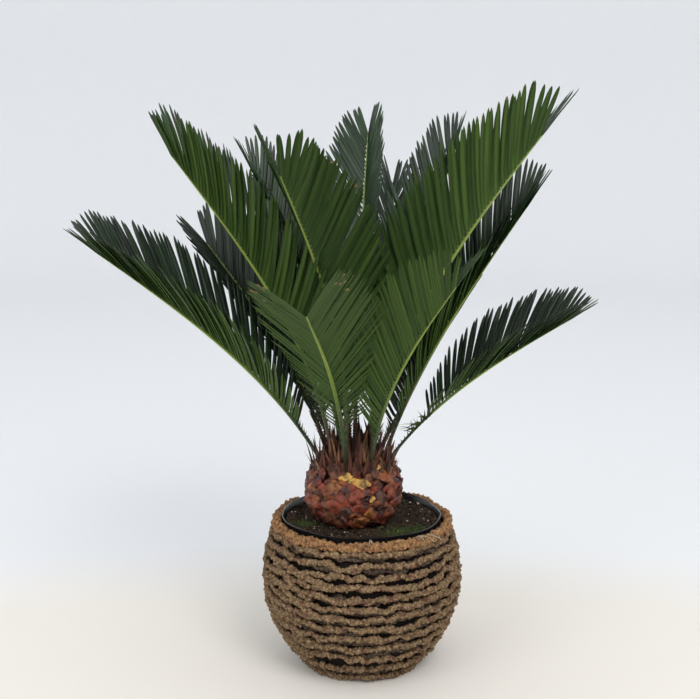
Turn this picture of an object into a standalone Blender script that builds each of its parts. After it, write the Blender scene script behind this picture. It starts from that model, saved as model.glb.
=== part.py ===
"""A sago palm in its pot: rope basket, nursery pot, soil, scaly caudex and a crown of fronds.

Metres, +Z up. The origin is the centre of the basket's flat underside, and the plant is seen from -Y.
Each frond is one thin keeled blade with the outline of its two rows of leaflets.
"""

import math
from collections import namedtuple

import bmesh
import bpy
from mathutils import Vector

GAP = 0.0003
UP = Vector((0.0, 0.0, 1.0))

# Rope basket, a round barrel with a flat foot
FOOT_RADIUS = 0.062
BELLY_RADIUS = 0.1075
BELLY_HEIGHT = 0.104
MOUTH_RADIUS = 0.0965
WALL_TOP = 0.1540
WALL = 0.009
FLOOR = 0.012
RIM_ROPE = 0.0055
RIM_RADIUS = 0.0925
TURN_STEPS = 40

# Plastic nursery pot that lines the basket
POT_MOUTH = 0.0865
POT_FOOT = 0.055
POT_TOP = 0.1665
POT_WALL = 0.0018
LIP_WIDTH = 0.0020
LIP_HEIGHT = 0.0070

# Soil, level round the stem and a little higher at the pot's wall
SOIL_TOP = 0.1600
SOIL_EDGE = 0.1610
SOIL_FLAT = 0.055

# Caudex, the swollen stem, which stands a little left of the pot's axis
STEM_X = -0.009
STEM_FOOT = SOIL_TOP + GAP
STEM_STEPS = 32
STEM_PROFILE = (
    (0.0100, 0.2380),
    (0.0200, 0.2355),
    (0.0300, 0.2310),
    (0.0380, 0.2260),
    (0.0440, 0.2190),
    (0.0475, 0.2100),
    (0.0490, 0.1970),
    (0.0475, 0.1830),
    (0.0430, 0.1710),
    (0.0370, 0.1640),
)
STEM_TOP = 0.2385
STEM_FOOT_RADIUS = 0.035

# Fronds: midrib, stalk and the keeled blade that stands for the leaflets
CROWN = Vector((STEM_X, 0.0, 0.228))
MIDRIB_STEPS = 96
STALK_SINK = 0.008
STALK_BASE_HALF = 0.0042
STALK_HALF = 0.0030
STALK_DEPTH = 0.0026
BLADE_STATIONS = 12
BLADE_HALF = 0.0009
EDGE_SHARE = 0.6
RIB_SHARE = 1.6
CROWDED_SHARE = 0.6
KEEL_RELAX = 0.15

# Angles in degrees. Azimuth runs from +X towards +Y, swing is the azimuth gained towards the tip, roll
# turns the blade about its midrib, and keel is how far both rows of leaflets rise. Ring and rise place
# the foot of the stalk on the crown, kept is the share of the leafy part that is left, bare is the share
# of the length that has no leaflets, and spread is how much wider the lowest leaflets stand out.
Frond = namedtuple(
    "Frond",
    "name azimuth base_lift tip_lift length swing roll keel leaflet ring rise kept bare spread",
    defaults=(1.0, 0.16, 0.0),
)
FRONDS = (
    Frond("frond_01_right_low", 6, 55, 29, 0.252, 1, 14, 58, 0.076, 0.036, -0.006, bare=0.27),
    Frond("frond_02_right_leaning", -2, 72, 56, 0.316, 2, 22, 54, 0.090, 0.032, 0.000),
    Frond("frond_03_right_tall", -34, 82, 51, 0.394, 0, -14, 52, 0.112, 0.024, 0.004),
    Frond("frond_04_front_right", -60, 76, 41, 0.272, -4, 0, 56, 0.090, 0.034, -0.002),
    Frond("frond_05_front_cut", -104, 76, 24, 0.314, 10, 8, 42, 0.094, 0.033, -0.002, kept=0.8, spread=26),
    Frond("frond_06_front_left", 243, 96, 50, 0.342, 2, -12, 50, 0.105, 0.018, 0.008),
    Frond("frond_07_left_tall", 208, 82, 52, 0.368, 0, -15, 58, 0.106, 0.026, 0.004),
    Frond("frond_08_left_low", 190, 62, 37, 0.326, 0, -19, 56, 0.094, 0.034, -0.004),
    Frond("frond_09_left_inner", 162, 92, 61, 0.320, -2, -16, 56, 0.082, 0.014, 0.008),
    Frond("frond_10_left_rear", 152, 72, 46, 0.274, -4, -24, 54, 0.091, 0.032, 0.000),
    Frond("frond_11_rear_left_low", 124, 54, 32, 0.295, 0, 0, 48, 0.086, 0.035, -0.005),
    Frond("frond_12_rear_left", 118, 74, 50, 0.312, 0, -8, 48, 0.085, 0.028, 0.002),
    Frond("frond_13_rear_low", 96, 60, 36, 0.315, 0, 0, 48, 0.080, 0.034, -0.004),
    Frond("frond_14_rear_inner", 85, 84, 50, 0.385, 0, -20, 55, 0.088, 0.016, 0.008),
    Frond("frond_15_rear_right_low", 66, 54, 32, 0.285, 0, 0, 48, 0.078, 0.035, -0.005),
    Frond("frond_16_rear_right", 54, 68, 59, 0.312, 45, 15, 50, 0.080, 0.024, 0.006),
    Frond("frond_17_right_rear", 38, 56, 48, 0.225, 6, 0, 50, 0.066, 0.033, -0.002),
    Frond("frond_18_right_inner", 20, 78, 70, 0.338, 9, 0, 56, 0.088, 0.018, 0.006),
)

ROPE_BROWN = (0.25, 0.16, 0.085, 1.0)
POT_BLACK = (0.012, 0.012, 0.013, 1.0)
SOIL_BROWN = (0.028, 0.018, 0.012, 1.0)
STEM_RUST = (0.24, 0.075, 0.028, 1.0)
FROND_GREEN = (0.045, 0.13, 0.035, 1.0)


def clear_scene():
    for old in list(bpy.data.objects):
        bpy.data.objects.remove(old, do_unlink=True)


def make_collection(name):
    collection = bpy.data.collections.new(name)
    bpy.context.scene.collection.children.link(collection)
    return collection


def make_material(name, colour, roughness):
    material = bpy.data.materials.new(name)
    material.use_nodes = True
    shader = material.node_tree.nodes["Principled BSDF"]
    shader.inputs["Base Color"].default_value = colour
    shader.inputs["Roughness"].default_value = roughness
    shader.inputs["Metallic"].default_value = 0.0
    return material


def add_object(name, mesh, collection, material=None):
    thing = bpy.data.objects.new(name, mesh)
    collection.objects.link(thing)
    if material:
        mesh.materials.append(material)
    return thing


def turned(name, profile, steps, collection, material=None):
    """A turned solid: the profile of (radius, height) runs down the outer side and ends on the axis."""
    mesh = bpy.data.meshes.new(name)
    points = [(radius, 0.0, height) for radius, height in profile]
    edges = [(i, i + 1) for i in range(len(points) - 1)]
    mesh.from_pydata(points, edges, [])
    thing = add_object(name, mesh, collection, material)
    screw = thing.modifiers.new("turn", "SCREW")
    screw.axis = "Z"
    screw.angle = math.tau
    screw.steps = steps
    screw.render_steps = steps
    screw.use_merge_vertices = True
    screw.merge_threshold = 0.00005
    screw.use_smooth_shade = True
    return thing


def barrel(height):
    """Outer radius of the basket at a height above its foot."""
    if height < BELLY_HEIGHT:
        rise = (BELLY_HEIGHT - height) / BELLY_HEIGHT
        return BELLY_RADIUS - (BELLY_RADIUS - FOOT_RADIUS) * rise**2.3
    rise = (height - BELLY_HEIGHT) / (WALL_TOP - BELLY_HEIGHT)
    return BELLY_RADIUS - (BELLY_RADIUS - MOUTH_RADIUS) * rise**2


def make_basket(collection, material):
    rings = 9
    heights = [WALL_TOP * i / (rings - 1) for i in range(rings)]
    inside = [h for h in heights if h > 2 * FLOOR]
    profile = [(0.0, FLOOR), (barrel(FLOOR) - WALL, FLOOR)]
    profile += [(barrel(h) - WALL, h) for h in inside]
    profile += [(barrel(h), h) for h in reversed(heights)]
    profile += [(0.0, 0.0)]
    turned("basket", profile, TURN_STEPS, collection, material)


def make_rim(collection, material):
    """The thick rope that rolls over the basket's mouth."""
    bpy.ops.mesh.primitive_torus_add(
        major_radius=RIM_RADIUS,
        minor_radius=RIM_ROPE,
        major_segments=TURN_STEPS,
        minor_segments=10,
        location=(0.0, 0.0, WALL_TOP + GAP + RIM_ROPE),
    )
    rim = bpy.context.object
    rim.name = "basket_rim"
    rim.data.materials.append(material)
    rim.data.shade_smooth()
    for owner in list(rim.users_collection):
        owner.objects.unlink(rim)
    collection.objects.link(rim)


def pot_wall(height, inset):
    """Radius of the nursery pot's straight wall, less an inset."""
    share = (height - FLOOR) / (POT_TOP - FLOOR)
    return POT_FOOT + (POT_MOUTH - LIP_WIDTH - POT_FOOT) * share - inset


def make_pot(collection, material):
    foot = FLOOR + GAP
    inner_foot = foot + POT_WALL
    lip_foot = POT_TOP - LIP_HEIGHT
    profile = (
        (0.0, inner_foot),
        (pot_wall(inner_foot, POT_WALL), inner_foot),
        (pot_wall(lip_foot, POT_WALL), lip_foot),
        (POT_MOUTH - LIP_WIDTH, POT_TOP),
        (POT_MOUTH, POT_TOP),
        (POT_MOUTH, lip_foot),
        (pot_wall(lip_foot, 0.0), lip_foot),
        (pot_wall(foot, 0.0), foot),
        (0.0, foot),
    )
    turned("nursery_pot", profile, TURN_STEPS, collection, material)


def make_soil(collection, material):
    foot = FLOOR + GAP + POT_WALL + GAP
    clear = POT_WALL + 2 * GAP
    profile = (
        (0.0, SOIL_TOP),
        (SOIL_FLAT, SOIL_TOP),
        (pot_wall(SOIL_EDGE, clear), SOIL_EDGE),
        (pot_wall(foot, clear), foot),
        (0.0, foot),
    )
    turned("soil", profile, TURN_STEPS, collection, material)


def stem_profile(grow):
    """The caudex from its crown down to the flat cut, grown outwards by a small distance."""
    body = [(radius + grow, height + grow) for radius, height in STEM_PROFILE]
    return [(0.0, STEM_TOP + grow), *body, (STEM_FOOT_RADIUS + grow, STEM_FOOT), (0.0, STEM_FOOT)]


def make_stem(collection, material):
    stem = turned("caudex", stem_profile(0.0), STEM_STEPS, collection, material)
    stem.location.x = STEM_X


def make_crown_cutter(collection):
    """The caudex grown by the gap, which trims the foot of every stalk."""
    cutter = turned("crown_cutter", stem_profile(GAP), STEM_STEPS, collection)
    cutter.location.x = STEM_X
    cutter.hide_render = True
    cutter.display_type = "WIRE"
    return cutter


def ease(value, low, high):
    """A smooth step from 0 at low to 1 at high."""
    share = min(max((value - low) / (high - low), 0.0), 1.0)
    return share * share * (3.0 - 2.0 * share)


def leaflet_length(frond, share):
    """Length of the leaflets at a share of the leafy part: short at its foot, longest near the middle."""
    rise = 0.3 + 0.7 * ease(share, -0.05, 0.34)
    fall = 0.30 * ease(share, 0.55, 0.97) + 0.22 * ease(share, 0.9, 1.0)
    return frond.leaflet * (rise - fall)


def leaflet_angle(frond, share):
    """Angle between a leaflet and the midrib, which closes towards the tip of the frond."""
    opening = 58.0 + frond.spread * (1.0 - ease(share, 0.0, 0.5))
    closing = 16.0 * ease(share, 0.0, 0.4) + 8.0 * ease(share, 0.4, 0.9) + 16.0 * ease(share, 0.88, 1.0)
    return math.radians(opening - closing)


def directions(frond, along):
    """Tangent, upper normal and right-hand side of a frond at a share of its length."""
    azimuth = math.radians(frond.azimuth + frond.swing * along)
    fall = frond.base_lift - frond.tip_lift
    lift = math.radians(frond.tip_lift + fall * (1.0 - along) ** 2)
    outward = Vector((math.cos(azimuth), math.sin(azimuth), 0.0))
    tangent = outward * math.cos(lift) + UP * math.sin(lift)
    normal = UP * math.cos(lift) - outward * math.sin(lift)
    side = tangent.cross(normal)
    roll = math.radians(frond.roll)
    rolled_normal = normal * math.cos(roll) + side * math.sin(roll)
    rolled_side = side * math.cos(roll) - normal * math.sin(roll)
    return tangent, rolled_normal, rolled_side


def midrib_points(frond):
    """Evenly spaced points along the midrib, from the crown to the tip."""
    azimuth = math.radians(frond.azimuth)
    offset = Vector((math.cos(azimuth), math.sin(azimuth), 0.0)) * frond.ring
    points = [CROWN + offset + UP * frond.rise]
    for i in range(MIDRIB_STEPS):
        tangent, _, _ = directions(frond, (i + 0.5) / MIDRIB_STEPS)
        points.append(points[-1] + tangent * (frond.length / MIDRIB_STEPS))
    return points


def point_at(points, along):
    place = along * (len(points) - 1)
    index = min(int(place), len(points) - 2)
    return points[index].lerp(points[index + 1], place - index)


def stalk_section(centre, frame, half):
    """Six points round the bare stalk, in the order of a blade section."""
    _, normal, side = frame
    top = normal * STALK_DEPTH * 0.7
    low = -normal * STALK_DEPTH * 0.5
    return [
        centre + top - side * half,
        centre + normal * STALK_DEPTH,
        centre + top + side * half,
        centre + low + side * half,
        centre - normal * STALK_DEPTH,
        centre + low - side * half,
    ]


def blade_section(frond, centre, frame, share):
    """Six points of the keeled blade: both edges run out along the leaflets to their tips."""
    tangent, normal, side = frame
    place = share * frond.kept
    angle = leaflet_angle(frond, place)
    keel = math.radians(frond.keel * (1.0 - KEEL_RELAX * share))
    crowding = CROWDED_SHARE + (1.0 - CROWDED_SHARE) * ease(share, 0.1, 0.6)
    reach = leaflet_length(frond, place) * crowding
    edges = []
    for hand in (-1.0, 1.0):
        wing = side * (hand * math.cos(keel)) + normal * math.sin(keel)
        leaflet = tangent * math.cos(angle) + wing * math.sin(angle)
        face = leaflet.cross(tangent).normalized() * hand
        skin = face * (BLADE_HALF * EDGE_SHARE)
        tip = centre + leaflet * reach
        edges.append((tip + skin, tip - skin))
    (left_top, left_low), (right_top, right_low) = edges
    rib = normal * (BLADE_HALF * RIB_SHARE)
    return [left_top, centre + rib, right_top, right_low, centre - rib, left_low]


def frond_sections(frond):
    points = midrib_points(frond)
    base = directions(frond, 0.0)
    sections = [stalk_section(points[0] - base[0] * STALK_SINK, base, STALK_BASE_HALF)]
    for along, half in ((0.0, STALK_BASE_HALF), (0.5 * frond.bare, STALK_HALF), (0.95 * frond.bare, STALK_HALF)):
        sections.append(stalk_section(point_at(points, along), directions(frond, along), half))
    for i in range(BLADE_STATIONS):
        share = i / (BLADE_STATIONS - 1)
        along = frond.bare + (1.0 - frond.bare) * share
        sections.append(blade_section(frond, point_at(points, along), directions(frond, along), share))
    return sections


def strip_triangles(a, b, c, d, lower):
    """Two triangles of a strip, split so that both faces of the thin blade bend along the same line."""
    if lower:
        return (a, b, c), (b, d, c)
    return (a, b, d), (a, d, c)


def loft(name, sections):
    """A closed mesh through sections of six points each."""
    bm = bmesh.new()
    rows = [[bm.verts.new(point) for point in section] for section in sections]
    for first, second in zip(rows, rows[1:]):
        for j in range(6):
            k = (j + 1) % 6
            corners = (first[j], first[k], second[j], second[k])
            for triangle in strip_triangles(*corners, lower=j in (3, 4)):
                bm.faces.new(triangle)
    for row in (rows[0], rows[-1]):
        for cap in ((0, 1, 4), (0, 4, 5), (1, 2, 3), (1, 3, 4)):
            bm.faces.new([row[i] for i in cap])
    bmesh.ops.recalc_face_normals(bm, faces=bm.faces)
    mesh = bpy.data.meshes.new(name)
    bm.to_mesh(mesh)
    bm.free()
    return mesh


def make_frond(frond, collection, material, cutter):
    mesh = loft(frond.name, frond_sections(frond))
    blade = add_object(frond.name, mesh, collection, material)
    seat = blade.modifiers.new("seat_on_crown", "BOOLEAN")
    seat.operation = "DIFFERENCE"
    seat.solver = "EXACT"
    seat.object = cutter


def main():
    clear_scene()
    palm = make_collection("sago_palm")
    cutters = make_collection("cutters")
    rope = make_material("rope", ROPE_BROWN, 0.9)
    make_basket(palm, rope)
    make_rim(palm, make_material("rim_rope", ROPE_BROWN, 0.9))
    make_pot(palm, make_material("pot_plastic", POT_BLACK, 0.35))
    make_soil(palm, make_material("soil", SOIL_BROWN, 0.95))
    make_stem(palm, make_material("caudex_scales", STEM_RUST, 0.7))
    cutter = make_crown_cutter(cutters)
    for frond in FRONDS:
        make_frond(frond, palm, make_material(frond.name, FROND_GREEN, 0.5), cutter)


main()
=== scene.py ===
"""Looks of a sago palm in a rope basket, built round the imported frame.

Metres, +Z up, seen from -Y. The midribs follow the same rule as the solids that they replace, and every
random choice comes from a seeded generator.
"""

import math
from collections import namedtuple
from itertools import product

import bpy
import numpy as np
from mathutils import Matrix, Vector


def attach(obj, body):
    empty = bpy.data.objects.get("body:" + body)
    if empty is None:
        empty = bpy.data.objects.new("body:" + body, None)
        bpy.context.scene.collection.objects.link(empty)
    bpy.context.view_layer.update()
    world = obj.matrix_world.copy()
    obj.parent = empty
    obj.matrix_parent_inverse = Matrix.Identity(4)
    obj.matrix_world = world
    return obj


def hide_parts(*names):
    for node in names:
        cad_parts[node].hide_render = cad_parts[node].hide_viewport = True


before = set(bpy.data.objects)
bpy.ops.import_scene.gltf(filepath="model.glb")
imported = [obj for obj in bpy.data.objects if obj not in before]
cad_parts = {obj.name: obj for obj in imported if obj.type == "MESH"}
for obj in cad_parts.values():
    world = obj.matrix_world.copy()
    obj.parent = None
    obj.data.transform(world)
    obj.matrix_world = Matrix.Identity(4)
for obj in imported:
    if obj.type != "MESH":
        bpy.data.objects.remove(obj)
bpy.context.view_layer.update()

BODY = "root"
UP = np.array([0.0, 0.0, 1.0])

# Camera, stage and light
CAMERA_PLACE = (-0.013, -1.30, 0.60)
CAMERA_PITCH = 11.0
CAMERA_LENS = 64.3
FLOOR_RINGS = (0.0, 0.15, 0.25, 0.3, 0.6, 1.4)
BOWL_RADIUS = 3.0
BOWL_FILLET = 0.8
BOWL_HEIGHT = 4.5
BOWL_STEPS = 64
BEND_STEPS = 8
# The paper turns from warm to cool between two distances from a point in front of the basket
WARM_CENTRE = (0.0, -1.5, 0.0)
WARM_END = 1.67
COOL_START = 1.86
PAPER_WARM = (0.855, 0.815, 0.75)
PAPER_COOL = (0.855, 0.862, 0.872)
SKY_COLOUR = (0.95, 0.97, 1.0)
SKY_STRENGTH = 1.02
LIGHT_SIZE = 1.6
LIGHT_TARGET = (0.0, 0.0, 0.35)
# Lights: name, place, power and colour
LIGHTS = (
    ("key", (0.9, -2.0, 2.2), 34.0, (1.0, 0.985, 0.96)),
    ("fill", (-1.6, -1.8, 1.4), 14.0, (0.97, 0.98, 1.0)),
)

# Basket, as in the solids
FOOT_RADIUS = 0.062
BELLY_RADIUS = 0.1075
BELLY_HEIGHT = 0.104
MOUTH_RADIUS = 0.0965
WALL_TOP = 0.1540
RIM_ROPE = 0.0055
RIM_RADIUS = 0.0925
RIM_HEIGHT = 0.1598
RIM_PLAITS = 96

# Courses of rope round the basket
COURSES = 13
COURSE_LOWEST = 0.0045
COURSE_HIGHEST = 0.1520
COURSE_WANDER = 0.0022
ROPE_HALF = 0.0028
ROPE_NUB = 0.0038
ROPE_RELIEF = 0.0030
INNER_SET_BACK = 0.0066
INNER_SHARE = 0.8
CORE_SET_BACK = 0.0125
CORE_THICK = 0.0015
# Dark grain, middle, light grain and red patches
OUTER_ROPE = ((0.082, 0.047, 0.024), (0.205, 0.132, 0.068), (0.38, 0.27, 0.155), (0.120, 0.050, 0.036))
RIM_COLOURS = ((0.110, 0.054, 0.023), (0.300, 0.158, 0.066), (0.46, 0.275, 0.125), (0.16, 0.065, 0.040))
# A darker copy of the outer rope for the second layer and the base coil: painted shade
SHADED_INNER_ROPE = ((0.05, 0.034, 0.024), (0.11, 0.078, 0.052), (0.19, 0.14, 0.10), (0.08, 0.04, 0.03))
# Painted shade that darkens a rope between its nubs: depth and share of its colour
ROPE_SHADE = ((0.0, (0.20, 0.19, 0.19)), (0.3, (0.62, 0.60, 0.60)), (0.7, (1.0, 1.0, 1.0)))
# Points along each kind of rope and round its section
COURSE_MESH = (560, 14)
INNER_MESH = (400, 12)
STRAND_MESH = (90, 12)
COIL_MESH = (160, 10)
RIM_MESH = (640, 22)
THREAD_MESH = (14, 5)
# Strands that cross the courses: start and sweep in degrees, lowest and highest height
CROSS_STRANDS = (
    (196, 44, 0.132, 0.108),
    (204, 50, 0.112, 0.084),
    (192, 40, 0.092, 0.071),
    (208, 36, 0.070, 0.050),
    (200, 34, 0.052, 0.032),
    (222, 40, 0.128, 0.118),
    (312, 34, 0.100, 0.122),
    (70, 40, 0.060, 0.086),
    (140, 38, 0.110, 0.084),
)
# Frayed fibres at the rim: x, y, reach to the right and rise of the loop
THREADS = (
    (0.054, -0.078, 0.010, 0.004),
    (0.060, -0.075, 0.014, 0.002),
    (0.066, -0.068, 0.016, 0.001),
    (0.063, -0.074, -0.005, 0.003),
    (0.070, -0.062, 0.010, -0.002),
    (0.006, -0.093, 0.004, 0.004),
    (0.009, -0.094, -0.003, 0.005),
)
THREAD_HALF = 0.00026

# Nursery pot and soil
POT_MOUTH = 0.0865
POT_FOOT = 0.055
POT_TOP = 0.1665
POT_BASE = 0.0123
POT_WALL = 0.0016
POT_STEPS = 240
SOIL_TOP = 0.1600
CRUMB_COUNT = 2600
CRUMB_COLOURS = ((0.012, 0.008, 0.006), (0.040, 0.024, 0.014), (0.085, 0.050, 0.028), (0.52, 0.46, 0.36))
CRUMB_SHARES = (0.46, 0.34, 0.165, 0.035)
# Moss: x, y, spread and number of blades
MOSS_CLUMPS = (
    (0.036, -0.050, 0.008, 700),
    (0.056, -0.040, 0.006, 300),
    (-0.062, -0.020, 0.007, 420),
    (0.030, 0.055, 0.008, 300),
)
MOSS_HALF = 0.00045
MOSS_COLOURS = ((0.030, 0.055, 0.014), (0.055, 0.095, 0.022), (0.090, 0.130, 0.035), (0.045, 0.038, 0.018))

# Stem: radius and height from the flat cut to the crown
GOLDEN_ANGLE = math.radians(137.508)
STEM_AXIS = np.array([-0.009, 0.0, 0.0])
STEM_FOOT = 0.1603
STEM_PROFILE = (
    (0.0370, 0.1640),
    (0.0430, 0.1710),
    (0.0475, 0.1830),
    (0.0490, 0.1970),
    (0.0475, 0.2100),
    (0.0440, 0.2190),
    (0.0380, 0.2260),
    (0.0300, 0.2310),
    (0.0200, 0.2355),
    (0.0100, 0.2380),
)
# The place in the profile where the crown's dome starts, and the soil that the stem keeps clear
SHOULDER = 4
STEM_CLEAR = 0.036
SCALE_COUNT = 205
SCALE_RING = 22
SCALE_HALF_WIDTH = 0.0087
SCALE_HALF_HEIGHT = 0.0071
SCALE_POWER = 1.35
# Rows of a scale: share of its outline, height in half heights, and how open it lies to the light
SCALE_ROWS = (
    (0.85, -0.50, 0.0),
    (1.00, -0.12, 0.0),
    (1.03, 0.08, 0.25),
    (0.95, 0.24, 0.6),
    (0.78, 0.34, 0.9),
    (0.52, 0.38, 1.0),
    (0.26, 0.38, 1.0),
    (0.06, 0.37, 1.0),
)
# Reds, rusts and browns of the old leaf bases, then the yellow of a scar
SCALE_COLOURS = (
    (0.175, 0.036, 0.018),
    (0.120, 0.025, 0.016),
    (0.195, 0.058, 0.020),
    (0.270, 0.100, 0.030),
    (0.070, 0.030, 0.020),
    (0.105, 0.038, 0.018),
    (0.520, 0.300, 0.070),
)
SCALE_GLOW = (0.15, 0.045, 0.018)
# Dark purple-brown laid over the leaf bases in patches at random places
SCALE_DARK_PATCHES = (0.032, 0.017, 0.015)
# Painted shade in the crevices, darkest on the rows that lie under a neighbouring scale: openness to the
# light and share of the colour
CREVICE_SHADE = ((0.0, (0.10, 0.09, 0.09)), (0.65, (1.0, 1.0, 1.0)))
SCALE_SHARES_LOW = (0.34, 0.20, 0.20, 0.10, 0.07, 0.09)
SCALE_SHARES_HIGH = (0.06, 0.12, 0.24, 0.12, 0.10, 0.36)
# Cut scars: share of the stem's skin, turn in degrees, half width, half height and tilt
SCARS = (
    (0.700, 260, 0.0078, 0.0044, -0.1),
    (0.655, 272, 0.0080, 0.0044, 0.1),
    (0.630, 281, 0.0070, 0.0056, 0.1),
    (0.87, 293, 0.0040, 0.0046, 0.0),
    (0.80, 306, 0.0050, 0.0034, 0.1),
    (0.44, 291, 0.0032, 0.0048, 0.0),
)
SCAR_LIFT = 0.0036
# Broken stubs at the stem's sides: share of its skin, turn in degrees and length
STUBS = (
    (0.80, 182, 0.020),
    (0.52, 186, 0.009),
    (0.66, 180, 0.008),
    (0.66, 358, 0.013),
    (0.55, 2, 0.011),
)
STUB_EXTRAS = 12
STUB_RANGES = ((0.45, 0.8), (20.0, 340.0), (0.005, 0.009))
CROWN = STEM_AXIS + UP * 0.228
CROWN_SPREAD = 0.0440
SCALE_LEAF_COUNT = 150
SCALE_LEAF_COLOURS = (
    (0.085, 0.030, 0.017),
    (0.135, 0.055, 0.029),
    (0.050, 0.018, 0.012),
    (0.200, 0.100, 0.048),
)
SCALE_LEAF_SHARES = (0.36, 0.22, 0.30, 0.12)
WOOL_COUNT = 700
WOOL_SPREAD = 0.040
WOOL_HALF = 0.00030

# Fronds
MIDRIB_STEPS = 96
KEEL_RELAX = 0.15
LEAFLET_PITCH = 0.0058
LEAFLET_HALF = 0.0025
# Fronds unlike the rest: shares of the usual pitch, leaflet width and midrib
FOLIAGE = {
    "frond_01_right_low": (0.76, 1.00, 0.80),
    "frond_02_right_leaning": (0.94, 1.08, 1.00),
    "frond_03_right_tall": (0.96, 1.16, 1.10),
    "frond_04_front_right": (0.84, 0.72, 0.72),
    "frond_05_front_cut": (0.80, 0.55, 0.85),
    "frond_06_front_left": (0.96, 1.16, 1.00),
    "frond_07_left_tall": (0.96, 1.16, 1.10),
    "frond_08_left_low": (0.76, 1.08, 1.00),
    "frond_10_left_rear": (0.82, 1.08, 1.00),
}
USUAL = (1.0, 1.0, 1.0)
LEAFLET_THICK = 0.0004
LEAFLET_RIDGE = 0.0005
LEAFLET_RISE = 0.05
LEAFLET_DROOP = 0.06
STALK_SPINES = 12
CURLED_COUNT = 12

# Angles in degrees, as in the solids. Azimuth runs from +X towards +Y, and tone is how light the green is.
Frond = namedtuple(
    "Frond",
    "name azimuth base_lift tip_lift length swing roll keel leaflet ring rise tone kept bare spread",
    defaults=(1.0, 0.16, 0.0),
)
FRONDS = (
    Frond("frond_01_right_low", 6, 55, 29, 0.252, 1, 14, 58, 0.076, 0.036, -0.006, 0.15, bare=0.27),
    Frond("frond_02_right_leaning", -2, 72, 56, 0.316, 2, 22, 54, 0.090, 0.032, 0.000, 0.4),
    Frond("frond_03_right_tall", -34, 82, 51, 0.394, 0, -14, 52, 0.112, 0.024, 0.004, 0.7),
    Frond("frond_04_front_right", -60, 76, 41, 0.272, -4, 0, 56, 0.090, 0.034, -0.002, 0.9),
    Frond("frond_05_front_cut", -104, 76, 24, 0.314, 10, 8, 42, 0.094, 0.033, -0.002, 0.9, 0.8, spread=26),
    Frond("frond_06_front_left", 243, 96, 50, 0.342, 2, -12, 50, 0.105, 0.018, 0.008, 0.4),
    Frond("frond_07_left_tall", 208, 82, 52, 0.368, 0, -15, 58, 0.106, 0.026, 0.004, 0.6),
    Frond("frond_08_left_low", 190, 62, 37, 0.326, 0, -19, 56, 0.094, 0.034, -0.004, 0.3),
    Frond("frond_09_left_inner", 162, 92, 61, 0.320, -2, -16, 56, 0.082, 0.014, 0.008, 0.9),
    Frond("frond_10_left_rear", 152, 72, 46, 0.274, -4, -24, 54, 0.091, 0.032, 0.000, 0.2),
    Frond("frond_11_rear_left_low", 124, 54, 32, 0.295, 0, 0, 48, 0.086, 0.035, -0.005, 0.5),
    Frond("frond_12_rear_left", 118, 74, 50, 0.312, 0, -8, 48, 0.085, 0.028, 0.002, 0.5),
    Frond("frond_13_rear_low", 96, 60, 36, 0.315, 0, 0, 48, 0.080, 0.034, -0.004, 0.5),
    Frond("frond_14_rear_inner", 85, 84, 50, 0.385, 0, -20, 55, 0.088, 0.016, 0.008, 0.9),
    Frond("frond_15_rear_right_low", 66, 54, 32, 0.285, 0, 0, 48, 0.078, 0.035, -0.005, 0.5),
    Frond("frond_16_rear_right", 54, 68, 59, 0.312, 45, 15, 50, 0.080, 0.024, 0.006, 0.3),
    Frond("frond_17_right_rear", 38, 56, 48, 0.225, 6, 0, 50, 0.066, 0.033, -0.002, 0.5),
    Frond("frond_18_right_inner", 20, 78, 70, 0.338, 9, 0, 56, 0.088, 0.018, 0.006, 0.6),
)
# Fronds whose leaflets' lower faces all take the lightest green as painted light, those with a green stalk,
# and the one with small curled leaflets
PAINTED_LIGHT_BELOW = ("frond_01_right_low", "frond_02_right_leaning", "frond_08_left_low", "frond_10_left_rear")
GREEN_STALKS = ("frond_01_right_low", "frond_04_front_right", "frond_05_front_cut", "frond_08_left_low")
CURLED = FRONDS[0]

# Leaflet colours, dark to light, and the places of the other kinds in the list of leaf materials
LEAF_UPPER = ((0.004, 0.011, 0.004), (0.009, 0.024, 0.008), (0.018, 0.044, 0.014))
LEAF_LOWER = ((0.020, 0.048, 0.007), (0.029, 0.063, 0.008), (0.046, 0.090, 0.012))
LOWER_FACE = 3
BASE_UPPER = 6
BASE_LOWER = 7
DRY_END = 8
# Midrib colours: share of its length and colour
RIB_TINTS = 24
GREEN_RIB = (
    (0.00, 0.045, 0.035, 0.018),
    (0.06, 0.024, 0.038, 0.014),
    (0.18, 0.036, 0.062, 0.016),
    (0.34, 0.120, 0.190, 0.022),
    (0.60, 0.210, 0.290, 0.030),
    (1.00, 0.210, 0.270, 0.045),
)
BROWN_RIB = (
    (0.00, 0.075, 0.040, 0.022),
    (0.08, 0.060, 0.036, 0.020),
    (0.18, 0.052, 0.046, 0.020),
    (0.32, 0.090, 0.130, 0.028),
    (0.55, 0.210, 0.280, 0.042),
    (1.00, 0.220, 0.280, 0.060),
)

# Leaflet outline: shares of the length and of the widest half width
OUTLINE_PLACES = np.array([0.0, 0.018, 0.10, 0.25, 0.50, 0.72, 0.88, 0.96, 1.0])
OUTLINE_WIDTHS = np.array([0.35, 0.60, 0.90, 1.0, 1.0, 0.95, 0.76, 0.46, 0.05])
# One section: offsets across and downward curl in half widths, and shares of the thickness and the ridge
SECTION_ACROSS = np.array([-1.0, -0.62, 0.0, 0.62, 1.0, 0.55, 0.0, -0.55])
SECTION_CURL = np.array([-0.45, -0.06, 0.0, -0.06, -0.45, -0.08, 0.0, -0.08])
SECTION_DEPTH = np.array([0.0, 0.0, 0.0, 0.0, 0.0, 1.0, 1.0, 1.0])
SECTION_RIDGE = np.array([0.0, 0.0, 0.0, 0.0, 0.0, 0.0, 1.0, 0.0])
# The first faces round a section are the leaflet's upper ones
UPPER_FACES = 4


# Materials


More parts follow.
